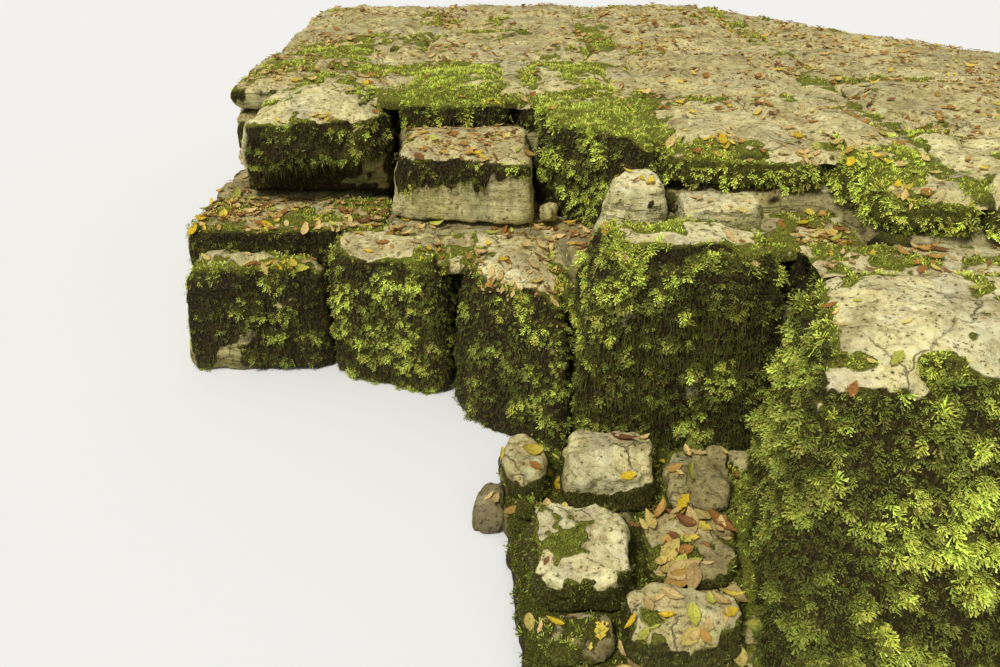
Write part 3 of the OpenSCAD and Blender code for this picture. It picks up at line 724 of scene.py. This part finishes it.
def rock_material():
    t = material("mossy_limestone")
    p = t.coords()
    up, wet = t.up(), t.attr("wet")
    mid = t.noise(14.0, 6, 0.65, 0.2, p)
    fine = t.noise(70.0, 4, 0.7, 0.0, p)
    pits = t.patches(fine, 0.30, 0.40)
    split = cracks(t, p)
    bands = t.noise(1.0, 5, 0.65, 0.35, t.coords((2.4, 2.4, 24)))
    upright = t.ramp(up, [(0.45, 1.0), (0.75, 0.0)])
    line = t.times(t.ramp(bands, [(0.475, 0.0), (0.50, 1.0), (0.525, 0.0)]), upright)
    line = t.times(line, t.attr("beds"))
    stone_colour = t.mix(line, bare_stone(t, p, mid, fine, pits, split), BEDDING_LINE)
    stone_colour = stained(t, p, stone_colour, fine, up, wet)
    stems = t.noise(1.0, 4, 0.75, 0.4, t.coords((150, 150, 45)))
    mossy = t.patches(t.plus(t.attr("moss"), t.times(t.minus(fine, 0.5), 0.5)), 0.32, 0.52)
    colour = t.mix(mossy, stone_colour, moss_mat(t, stems, up))
    # relief, from the coarse to the fine
    grit = t.times(t.noise(260.0, 2, 0.7, 0.0, p), 0.22)
    relief = t.plus(t.times(mid, 1.5), t.plus(t.times(pits, 0.6), grit))
    relief = t.plus(relief, t.times(split, 0.8))
    relief = t.plus(relief, t.times(upright, t.times(t.minus(bands, line), 1.6)))
    relief = t.plus(relief, t.times(t.times(stems, mossy), 2.2))
    bump = t.add("Bump", Strength=0.9, Distance=0.009, Height=relief)
    rough = t.minus(0.93, t.times(wet, 0.42))
    return t.finish(t.add("BsdfPrincipled", Base_Color=colour, Roughness=rough, Normal=bump,
                          Specular_IOR_Level=0.12))


# along a shoot from its root to its tip: its colour in painted shade, in painted light, and dry; the brown
# root is partly painted shade deep in the clump
SHOOT_IN_SHADE = [(0.0, (0.012, 0.009, 0.004)), (0.45, (0.030, 0.028, 0.008)), (1.0, (0.085, 0.095, 0.018))]
SHOOT_IN_LIGHT = [(0.0, (0.050, 0.038, 0.010)), (0.35, (0.35, 0.41, 0.032)), (0.75, (0.80, 0.92, 0.095)),
                (1.0, (0.96, 1.0, 0.20))]
SHOOT_DRY = [(0.0, (0.05, 0.032, 0.012)), (1.0, (0.40, 0.29, 0.10))]


def frond_material():
    t = material("moss_fronds")
    parts = t.nt.nodes.new("ShaderNodeSeparateColor")
    t.put(parts.inputs[0], t.attr("frond", out=0))
    tip, luck, painted_light = parts.outputs[0], parts.outputs[1], parts.outputs[2]
    # painted light and shade: each shoot mixes its shaded and its lit colour by how far it is lit
    c = t.mix(painted_light, t.ramp(tip, SHOOT_IN_SHADE), t.ramp(tip, SHOOT_IN_LIGHT))
    c = t.mix(t.attr("frond", out=3), c, t.ramp(tip, SHOOT_DRY))
    c = t.add("HueSaturation", Hue=t.plus(0.475, t.times(luck, 0.05)), Saturation=0.97,
              Value=t.plus(0.80, t.times(luck, 0.45)), Color=c)
    face = t.add("BsdfPrincipled", Base_Color=c, Roughness=0.85, Specular_IOR_Level=0.06)
    return t.finish(t.add("MixShader", i0=0.22, i1=face, i2=t.add("BsdfTranslucent", Color=c)))


LEAF_SPOT = (0.12, 0.055, 0.02)
LEAF_EDGE = (0.45, 0.30, 0.25)
LEAF_RIB = (0.50, 0.42, 0.35)


def leaf_material():
    t = material("fallen_leaves")
    across = t.attr("leaf", out=3)
    spots = t.noise(160.0, 3, 0.6, 0, t.coords())
    c = t.mix(t.times(t.patches(spots, 0.52, 0.70), 0.55), t.attr("leaf", out=0), LEAF_SPOT)
    edge = t.patches(t.plus(across, t.times(t.minus(spots, 0.5), 1.2)), 0.7, 1.1)
    c = t.dyed(t.times(edge, 0.5), c, LEAF_EDGE)
    rib = t.ramp(across, [(0.03, 1.0), (0.10, 0.0)])
    c = t.dyed(t.times(rib, 0.45), c, LEAF_RIB)
    face = t.add("BsdfPrincipled", Base_Color=c, Roughness=0.7, Specular_IOR_Level=0.12)
    return t.finish(t.add("MixShader", i0=0.15, i1=face, i2=t.add("BsdfTranslucent", Color=c)))


# Moss shoots

# widths as shares of a shoot's length, and the lengths in metres
AXIS_WIDTH = 0.07
SPRAY_WIDTH = 0.125
TUFT_WIDTH = 0.26
STEM_WIDTH = 0.05
SPRAY_LENGTH = 0.034
TUFT_LENGTH = 0.0125
STEM_LENGTH = 0.055
# from this length of moss on, as a look gives it, the sides bear sprays and stems, and below it tufts
LONG_MOSS = 0.6
# tufts per square metre on the tops, by the start of the node's name, and on the sides of shorter moss
TUFTS_ON = (("bedrock", 900), ("joint", 2400), ("pave", 4200), ("", 5400))
TUFTS_ON_SIDES = 1500
BACK_MOSS = 0.2
# shoots start this far inside the mat, and end no lower than this
ROOT_DEPTH = 0.003
GROUND = 0.001


def finger(root, end, side, width, tips, blunt):
    """One slender triangle, widest at its root or at its blunt end."""
    half = side * width / 2
    if blunt:
        return [root, end - half, end + half], [tips[0], tips[1], tips[1]]
    return [root - half, root + half, end], [tips[0], tips[0], tips[1]]


def shoot(fingers):
    """Fingers as arrays: vertices, triangles, and how far along the shoot each vertex is."""
    verts = np.array([p for corners, _ in fingers for p in corners])
    return verts, np.arange(len(verts)).reshape(-1, 3), np.array([x for _, tips in fingers for x in tips])


def spray(rng, count, droop):
    """A fan-shaped shoot of unit length along +Y, its upper side to +Z."""
    bend = rng.uniform(-0.25, 0.25)

    def axis(s):
        return np.array([bend * s * s, s * (1 - 0.15 * s) * 0.72, 0.20 * math.sin(2.4 * s) - droop * s * s])

    fingers = [finger(axis(0.0), axis(0.9), np.array([1.0, 0, 0]), AXIS_WIDTH, (0, 0.5), False)]
    for k in range(count):
        s = 0.10 + 0.80 * (k + rng.uniform(0.1, 0.9)) / count
        hand = 1 if k % 2 else -1
        angle = math.radians(lerp(78, 8, s) * rng.uniform(0.65, 1.2)) * hand
        reach = rng.uniform(0.28, 0.50)
        root = axis(s)
        rise = rng.uniform(-0.9, 0.35) * droop
        end = root + reach * np.array([math.sin(angle), math.cos(angle), rise])
        side = np.array([math.cos(angle), -math.sin(angle), rng.uniform(-0.45, 0.45)])
        side /= np.linalg.norm(side)
        fingers.append(finger(root, end, side, SPRAY_WIDTH, (0.30 + 0.3 * s, 1.0), k % 3 > 0))
    return shoot(fingers)


def tuft(rng, blades):
    """A short cushion tuft, growing along +Y."""
    fingers = []
    for k in range(blades):
        a = 2 * math.pi * (k + rng.uniform(0, 0.6)) / blades
        lean = rng.uniform(0.35, 0.95)
        d = np.array([math.cos(a) * lean, 1.0, math.sin(a) * lean])
        d /= np.linalg.norm(d)
        side = np.cross(d, [0, 1, 0.01])
        side /= np.linalg.norm(side)
        fingers.append(finger(d * 0.05, d * rng.uniform(0.85, 1.15), side, TUFT_WIDTH, (0.3, 1.0), k % 2))
    return shoot(fingers)


def strand(rng):
    """A hanging stem of unit length along +Y."""
    end = np.array([0.08 * rng.normal(), 1.0, 0.05 * rng.normal()])
    return shoot([finger(np.zeros(3), end, np.array([1.0, 0, 0]), STEM_WIDTH, (0.1, 0.6), False)])


SHAPES = np.random.default_rng(7)
SPRAYS = [spray(SHAPES, 7 + k % 3, 0.35 + 0.09 * k) for k in range(7)]
TUFTS = [tuft(SHAPES, 4 + k % 2) for k in range(4)]
STRANDS = [strand(SHAPES) for _ in range(4)]


def frames(grow, face):
    """Rotations whose Y axis is grow and whose Z axis leans to face, as N x 3 x 3."""
    y = grow / np.linalg.norm(grow, axis=1, keepdims=True)
    x = np.cross(y, face)
    x /= np.linalg.norm(x, axis=1, keepdims=True) + 1e-9
    z = np.cross(x, y)
    return np.stack([x, y, z], 2)


def stacked(parts):
    """Several sets of vertices, triangles and colours as one set."""
    V, F, C = zip(*parts)
    first = np.cumsum([0] + [len(v) for v in V])
    return np.concatenate(V), np.concatenate([f + a for f, a in zip(F, first)]), np.concatenate(C)


def copies(shapes, which, place, turn, size, colour, channel, widths=None):
    """Copies of the shapes as one set of arrays: vertices, triangles and colours.

    The shape's own value along it goes into the channel, and the copy's colour into the other three."""
    parts = []
    others = [k for k in range(4) if k != channel]
    for k, (sv, sf, along) in enumerate(shapes):
        m = which == k
        count = int(m.sum())
        if not count:
            continue
        local = sv[None] * size[m][:, None, None]
        if widths:
            local = local * np.stack([widths(count), np.ones(count), np.ones(count)], 1)[:, None, :]
        v = np.einsum("nij,nkj->nki", turn[m], local) + place[m][:, None, :]
        f = sf[None] + np.arange(count)[:, None, None] * len(sv)
        c = np.empty((count, len(sv), 4))
        c[:, :, channel] = along[None]
        c[:, :, others] = colour[m][:, None, :]
        parts.append((v.reshape(-1, 3), f.reshape(-1, 3), c.reshape(-1, 4)))
    return stacked(parts)


def sampled(r, density, rng):
    """Random places on a rock, their normals, and how the moss stands out and is lit there.

    density is per square metre, for each face of its mesh."""
    v, q = r["v"], r["q"]
    a, b, c, d = (v[q[:, k]] for k in range(4))
    area = 0.5 * np.linalg.norm(np.cross(c - a, d - b), axis=1)
    count = rng.poisson(area * density * r["free"])
    f = np.repeat(np.arange(len(q)), count)
    s, t = rng.random((2, len(f), 1))
    weights = ((1 - s) * (1 - t), s * (1 - t), s * t, (1 - s) * t)

    def blended(values):
        return sum(w * values[q[f, k]] for k, w in enumerate(weights))

    normal = blended(r["n"])
    normal /= np.linalg.norm(normal, axis=1, keepdims=True) + 1e-9
    return blended(v), normal, {key: blended(r[key][:, None])[:, 0] for key in ("out", "lit")}


def moss_on(r, index):
    """The shoots on one rock or soil as one object: sprays and stems on its sides, tufts on its top."""
    look, node = r["look"], r["node"]
    rng = np.random.default_rng(500 + index)
    normals = r["n"][r["q"]].mean(1)
    lit = r["lit"][r["q"]].mean(1)
    cover = smoothstep(0.35, 0.75, r["moss"][r["q"]].mean(1)) * 1.0
    west = r["v"][:, 0].min()
    parts = []

    def grow(shapes, density, make):
        place, normal, field = sampled(r, density * cover, rng)
        if not len(place):
            return
        direction, facing, size, colour = make(place, normal, field)
        which = rng.integers(0, len(shapes), len(place))
        parts.append(copies(shapes, which, place - normal * ROOT_DEPTH, frames(direction, facing), size,
                            colour, 0, lambda count: rng.uniform(0.8, 1.25, count)))

    def sprays(place, normal, field):
        k = len(place)
        g = normal * rng.uniform(0.35, 0.95, (k, 1)) + rng.normal(0, 0.33, (k, 3))
        g[:, 2] -= rng.uniform(0.45, 1.5, k) * (1 - np.clip(normal[:, 2], 0, 1))
        size = rng.uniform(0.6, 1.3, k) * SPRAY_LENGTH * look["length"] * (0.6 + 0.65 * field["out"])
        # painted light and shade: a spray is lit as the painted light field says, less near the ground and
        # towards the stone's west edge
        painted_light = look["painted_light"] * np.clip(look["dim"] + 2.4 * field["lit"], 0, 1)
        painted_light = painted_light * rng.uniform(0.35, 1.35, k)
        painted_light *= 0.6 + 0.4 * smoothstep(0.02, 0.35, place[:, 2])
        painted_light *= lerp(look["shade"], 1.0, smoothstep(0.02, 0.34, place[:, 0] - west))
        straw = (rng.random(k) < 0.10) * rng.uniform(0.3, 0.8, k) * (painted_light > 0.25)
        return g, normal + (0, 0, 0.6), size, np.stack([rng.random(k), np.clip(painted_light, 0, 1), straw], 1)

    def tufts(place, normal, field):
        k = len(place)
        clump = fbm(place * 15, 3, 710)
        g = normal + rng.normal(0, 0.3, (k, 3))
        size = rng.uniform(0.7, 1.3, k) * TUFT_LENGTH * (0.75 + 0.6 * clump)
        # painted light: tufts that face up are lit more than those on slopes; the clump noise and chance
        # vary it at random
        painted_light = look["painted_light"] * (0.45 + 0.9 * smoothstep(0.25, 0.7, clump)) * rng.uniform(0.6, 1.15, k)
        painted_light *= lerp(look["low"], 1.0, smoothstep(0.3, 0.8, normal[:, 2]))
        straw = (rng.random(k) < 0.12) * rng.uniform(0.3, 0.9, k)
        return g, rng.normal(0, 1, (k, 3)), size, np.stack([rng.random(k), np.clip(painted_light, 0, 1), straw], 1)

    def strands(place, normal, field):
        k = len(place)
        g = normal * 0.28 + rng.normal(0, 0.12, (k, 3))
        g[:, 2] -= 1.0
        size = rng.uniform(0.5, 1.3, k) * STEM_LENGTH * look["length"]
        size = np.minimum(size, np.maximum(place[:, 2], 0.01))
        straw = (rng.random(k) < 0.5) * rng.uniform(0.2, 0.8, k)
        return g, normal, size, np.stack([rng.random(k), rng.uniform(0, 0.35, k), straw], 1)

    side = smoothstep(-0.3, 0.3, -normals[:, 1] + 0.35 * np.abs(normals[:, 0]) * (normals[:, 1] < 0.3))
    many = (BACK_MOSS if node.startswith("bedrock") else 1.0) * lerp(0.25, 1.0, side)
    long_moss = look["length"] >= LONG_MOSS
    if long_moss:
        rounded = 1 - smoothstep(0.72, 0.95, normals[:, 2])
        grow(SPRAYS, look["dense"] * rounded * many * (0.30 + 1.10 * lit), sprays)
        grow(STRANDS, look["stems"] * rounded * many * (1.25 - lit), strands)
    steep = 1 - smoothstep(0.55, 0.85, normals[:, 2])
    on_top = next(per for start, per in TUFTS_ON if node.startswith(start))
    grow(TUFTS, np.where(steep > 0.5, 0 if long_moss else TUFTS_ON_SIDES, on_top), tufts)
    if not parts:
        return None
    v, f, c = stacked(parts)
    v[:, 2] = np.maximum(v[:, 2], GROUND)
    return mesh_from("moss_" + node, v, f, [("frond", c)], smooth=False)


# Fallen leaves

def leaf_width(kind, y):
    """Half the leaf's width at y from its foot, 0, to its tip, 1."""
    belly = math.sin(math.pi * y ** 0.85)
    if kind == 0:
        return 0.17 * belly
    if kind == 1:
        return 0.27 * belly ** 0.85
    return 0.30 * belly ** 0.8 * (0.72 + 0.28 * math.cos(7.5 * math.pi * y))


def leaf(kind, steps, curl, fold):
    """A fallen leaf of unit length, folded along its midrib and curled up at its ends.

    Its last array tells the midrib, 0, from the rim, 1."""
    verts, rim = [], []
    for k in range(steps + 1):
        y = k / steps
        inner = 0 < k < steps
        x = leaf_width(kind, y) if inner else 0
        z = curl * (y - 0.5) ** 2
        verts += [(0, y - 0.5, z), (x, y - 0.5, z + fold * x), (-x, y - 0.5, z + fold * x)]
        rim += [0, 1, 1] if inner else [0.4] * 3
    # three vertices a station, on the midrib, to its right and to its left; both ends close on the midrib
    tris = [(0, 4, 3), (0, 3, 5)]
    for a in range(3, 3 * steps - 3, 3):
        b = a + 3
        tris += [(a, a + 1, b + 1), (a, b, b + 2), (a, b + 1, b), (a, b + 2, a + 2)]
    a, tip = 3 * steps - 3, 3 * steps
    tris += [(a, a + 1, tip), (a, tip, a + 2)]
    return np.array(verts, float), np.array(tris), np.array(rim, float)


# kind, curl and fold; then small leaves of 3 steps, large ones of 10, and crumbs
LEAF_FORMS = [(0, 0.5, 0.25), (1, 0.8, 0.3), (2, 0.3, 0.15), (1, 1.1, 0.5), (0, 0.9, 0.6), (1, 0.3, 0.2)]
LEAVES = [leaf(kind, steps, curl, fold) for steps in (3, 10) for kind, curl, fold in LEAF_FORMS]
LEAVES.append(leaf(1, 2, 0.9, 0.4))
CRUMB = len(LEAVES) - 1
LEAF_LENGTH = 0.032
LARGE_LEAF = 0.048
# yellow and green, then from here on browns
LEAF_COLOURS = np.array([
    (0.74, 0.53, 0.030), (0.78, 0.60, 0.08), (0.72, 0.57, 0.16), (0.54, 0.54, 0.09), (0.76, 0.56, 0.22),
    (0.54, 0.32, 0.08), (0.42, 0.19, 0.045), (0.26, 0.12, 0.040), (0.60, 0.43, 0.17)])
FIRST_BROWN = 4
BROWN_LITTER = ("west_tread", "bedrock_lower_1", "bedrock_lower_2", "middle_block", "pale_block",
                "groove_soil", "joint_soil_treads", "joint_soil_blocks", "path_stone")
# leaves per square metre on the tops, here and on all others, and crumbs of leaves in the recesses
LITTER = {
    "groove_soil": 900, "joint_soil_foot": 60, "joint_soil_blocks": 700, "joint_soil_treads": 900,
    "joint_soil_top": 420, "low_stone": 399, "west_block": 252, "middle_block": 315, "great_block": 126,
    "east_block": 38, "end_block": 52, "west_tread": 900, "groove_stone_1": 420, "groove_stone_2": 294,
    "path_stone": 693, "layer_stone": 189, "layer_end_stone": 462, "pale_block": 273, "wedge_stone": 126,
    "corner_block": 52, "overhanging_block": 63, "edge_slab_1": 84, "edge_slab_2": 105, "edge_slab_3": 168,
    "edge_slab_4": 189, "edge_slab_5": 147, "edge_slab_6": 126, "foot_shelf": 400, "foot_slabs": 520,
    "foot_stone_1": 126, "foot_stone_2": 105, "foot_stone_3": 84, "foot_stone_4": 273,
    "small_foot_stones": 126, "bedrock_lower_1": 420, "bedrock_lower_2": 900, "bedrock_middle_3": 420}
LITTER_ELSEWHERE = 300
CRUMBS = 1500


def strewn(rocks, rng):
    """Places, normals, share of browns and relative sizes of all the leaves and crumbs."""
    found = []

    def strew(place, normal, brown, big):
        found.append((place, normal, np.full(len(place), brown), np.broadcast_to(big, len(place))))

    for r in rocks:
        node, faces = r["node"], r["q"]
        up = r["n"][faces].mean(1)[:, 2]
        clump = smoothstep(0.35, 0.75, fbm(r["v"][faces].mean(1) * 5.0, 3, 808))
        per = LITTER.get(node, LITTER_ELSEWHERE)
        few = 1
        place, normal, _ = sampled(r, per * (up > 0.72) * (0.3 + 1.8 * clump) * few, rng)
        if not len(place):
            continue
        paving = node.startswith(("pavement", "joint_soil_top"))
        brown = paving or node in BROWN_LITTER
        strew(place, normal, 0.75 if brown else 0.4,
              (1.5 if "foot" in node else 1.15) * np.where(place[:, 1] < -0.3, 1, 0.83))
        if brown:
            few = 1 * (0.25 if paving else 1)
            place, normal, _ = sampled(r, CRUMBS * (up > 0.6) * (0.2 + 1.6 * clump) * few, rng)
            strew(place, normal, 0.95, 0.42)
    return [np.concatenate(x) for x in zip(*found)]


def litter(rocks):
    """The fallen leaves as one object. A leaf that nothing carries at both its ends is left out."""
    rng = np.random.default_rng(900)
    place, normal, brown, big = strewn(rocks, rng)
    k = len(place)
    up = normal + rng.normal(0, 0.12, (k, 3))
    turn = frames(np.cross(up, rng.normal(0, 1, (k, 3))), up)
    longest = np.where(big > 1.3, 0.10, 0.055)
    size = np.clip(LEAF_LENGTH * big * np.exp(rng.normal(0, 0.38, k)), 0.008, longest)
    pick = np.where(rng.random(k) < brown, rng.integers(FIRST_BROWN, len(LEAF_COLOURS), k),
                    rng.integers(0, FIRST_BROWN + 1, k))
    tint = LEAF_COLOURS[pick] * rng.uniform(0.75, 1.15, (k, 1))
    which = rng.integers(0, len(LEAF_FORMS), k) + len(LEAF_FORMS) * (size > LARGE_LEAF)
    which[big < 0.5] = CRUMB
    above, down, reach = Vector((0, 0, 0.04)), Vector((0, 0, -1)), 0.10
    for way in (-0.4, 0.4):
        for i, end in enumerate(place + turn[:, :, 1] * (way * size)[:, None]):
            if TREE.ray_cast(Vector(end) + above, down, reach)[0] is None:
                which[i] = -1
    v, f, c = copies(LEAVES, which, place + normal * 0.004, turn, size, tint, 3)
    v[:, 2] = np.clip(v[:, 2], 0.002, BED_3 + 0.03)
    return mesh_from("fallen_leaves", v, f, [("leaf", c)], smooth=False)


# The object

def soils():
    """Earth in the joints of the pavement, the blocks, the treads and the foot, and in the groove."""
    (west, front, _), (east, _, _) = CAD_BOX
    great_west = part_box("great_block")[0].x
    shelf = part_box("foot_shelf")[1]
    groove_lo, groove_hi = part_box("groove_stone_1")
    return [
        soil("joint_soil_top", PAVEMENT_EARTH, BED_3 - 0.031, level=BED_3 - 0.05, spread=2),
        soil("joint_soil_blocks", EARTH, BED_2 - 0.058, level=BED_2 - 0.05,
             region=((great_west, east), (front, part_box("layer_end_stone")[1].y))),
        soil("joint_soil_treads", EARTH, BED_1 - 0.034, level=BED_1 - 0.04,
             region=((west, great_west), (front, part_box("pale_block")[1].y))),
        soil("joint_soil_foot", EARTH, SHELF_TOP - 0.008, level=SHELF_TOP / 4, wide=3, to_edge=True,
             region=((shelf.x - 0.25, shelf.x + 0.1), (front + 0.02, shelf.y + 0.02))),
        soil("groove_soil", GROOVE_EARTH, GROOVE_LEVEL, wobble=0.014,
             region=((groove_lo.x, east - 0.02), (groove_lo.y - 0.02, groove_hi.y + 0.01))),
    ]


ROCK, FROND, LEAF = rock_material(), frond_material(), leaf_material()
rocks = []
for index, (node, look) in enumerate(LOOKS.items()):
    r = rock(node, look, index)
    r["obj"].data.materials.append(ROCK)
    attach(r["obj"], "root")
    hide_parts(node)
    rocks.append(r)
for r in soils():
    r["obj"].data.materials.append(ROCK)
    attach(r["obj"], "root")
    rocks.append(r)
for index, r in enumerate(rocks):
    shoots = moss_on(r, index)
    if shoots:
        shoots.data.materials.append(FROND)
        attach(shoots, "root")
leaves = litter(rocks)
leaves.data.materials.append(LEAF)
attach(leaves, "root")


# Stage

FLOOR_HALF = 80
FLOOR_COLOUR = (0.80, 0.80, 0.79)
BACKGROUND = (0.88, 0.875, 0.846)
SKY_LIGHT = 0.42
SUN_LIGHT = 2.65
SUN_COLOUR = (1.0, 0.985, 0.95)
SUN_WIDTH = math.radians(14)
SUN_WAY = Vector((0.42, 0.55, -1.0))


def pale_floor():
    h = FLOOR_HALF
    floor = mesh_from("floor", np.array([(-h, -h, 0), (h, -h, 0), (h, h, 0), (-h, h, 0)], float),
                      np.array([(0, 1, 2, 3)]), smooth=False)
    t = material("pale_floor")
    floor.data.materials.append(t.finish(t.add("BsdfDiffuse", Color=FLOOR_COLOUR)))
    return floor


def studio_world():
    """Even light, and a pale background where the camera looks past the object, in gloss and glass too."""
    t = Tree(bpy.data.worlds.new("studio"))
    path = t.nt.nodes.new("ShaderNodeLightPath").outputs
    seen = t.math("MAXIMUM", path["Is Glossy Ray"], path["Is Transmission Ray"])
    seen = t.math("MAXIMUM", path["Is Camera Ray"], seen)
    light = t.add("Background", Color=(1, 1, 1), Strength=SKY_LIGHT)
    background = t.add("Background", Color=BACKGROUND, Strength=1.0)
    return t.finish(t.add("MixShader", i0=seen, i1=light, i2=background), "World")


def sun():
    lamp = bpy.data.lights.new("key", "SUN")
    lamp.energy = SUN_LIGHT
    lamp.angle = SUN_WIDTH
    lamp.color = SUN_COLOUR
    key = bpy.data.objects.new("key", lamp)
    key.rotation_euler = SUN_WAY.to_track_quat("-Z", "Y").to_euler()
    return key


def photo_camera():
    cam = bpy.data.cameras.new("camera")
    cam.sensor_width = SENSOR_MM
    cam.lens = SENSOR_MM * FOCAL_PX / FRAME_PX
    camera = bpy.data.objects.new("camera", cam)
    camera.location = CAMERA_PLACE
    camera.rotation_euler = (math.pi / 2 - CAMERA_DOWN, 0, 0)
    return camera


pale_floor()
scene = bpy.context.scene
scene.view_settings.view_transform = "Standard"
scene.world = studio_world()
camera = photo_camera()
for o in (sun(), camera):
    scene.collection.objects.link(o)
scene.camera = camera
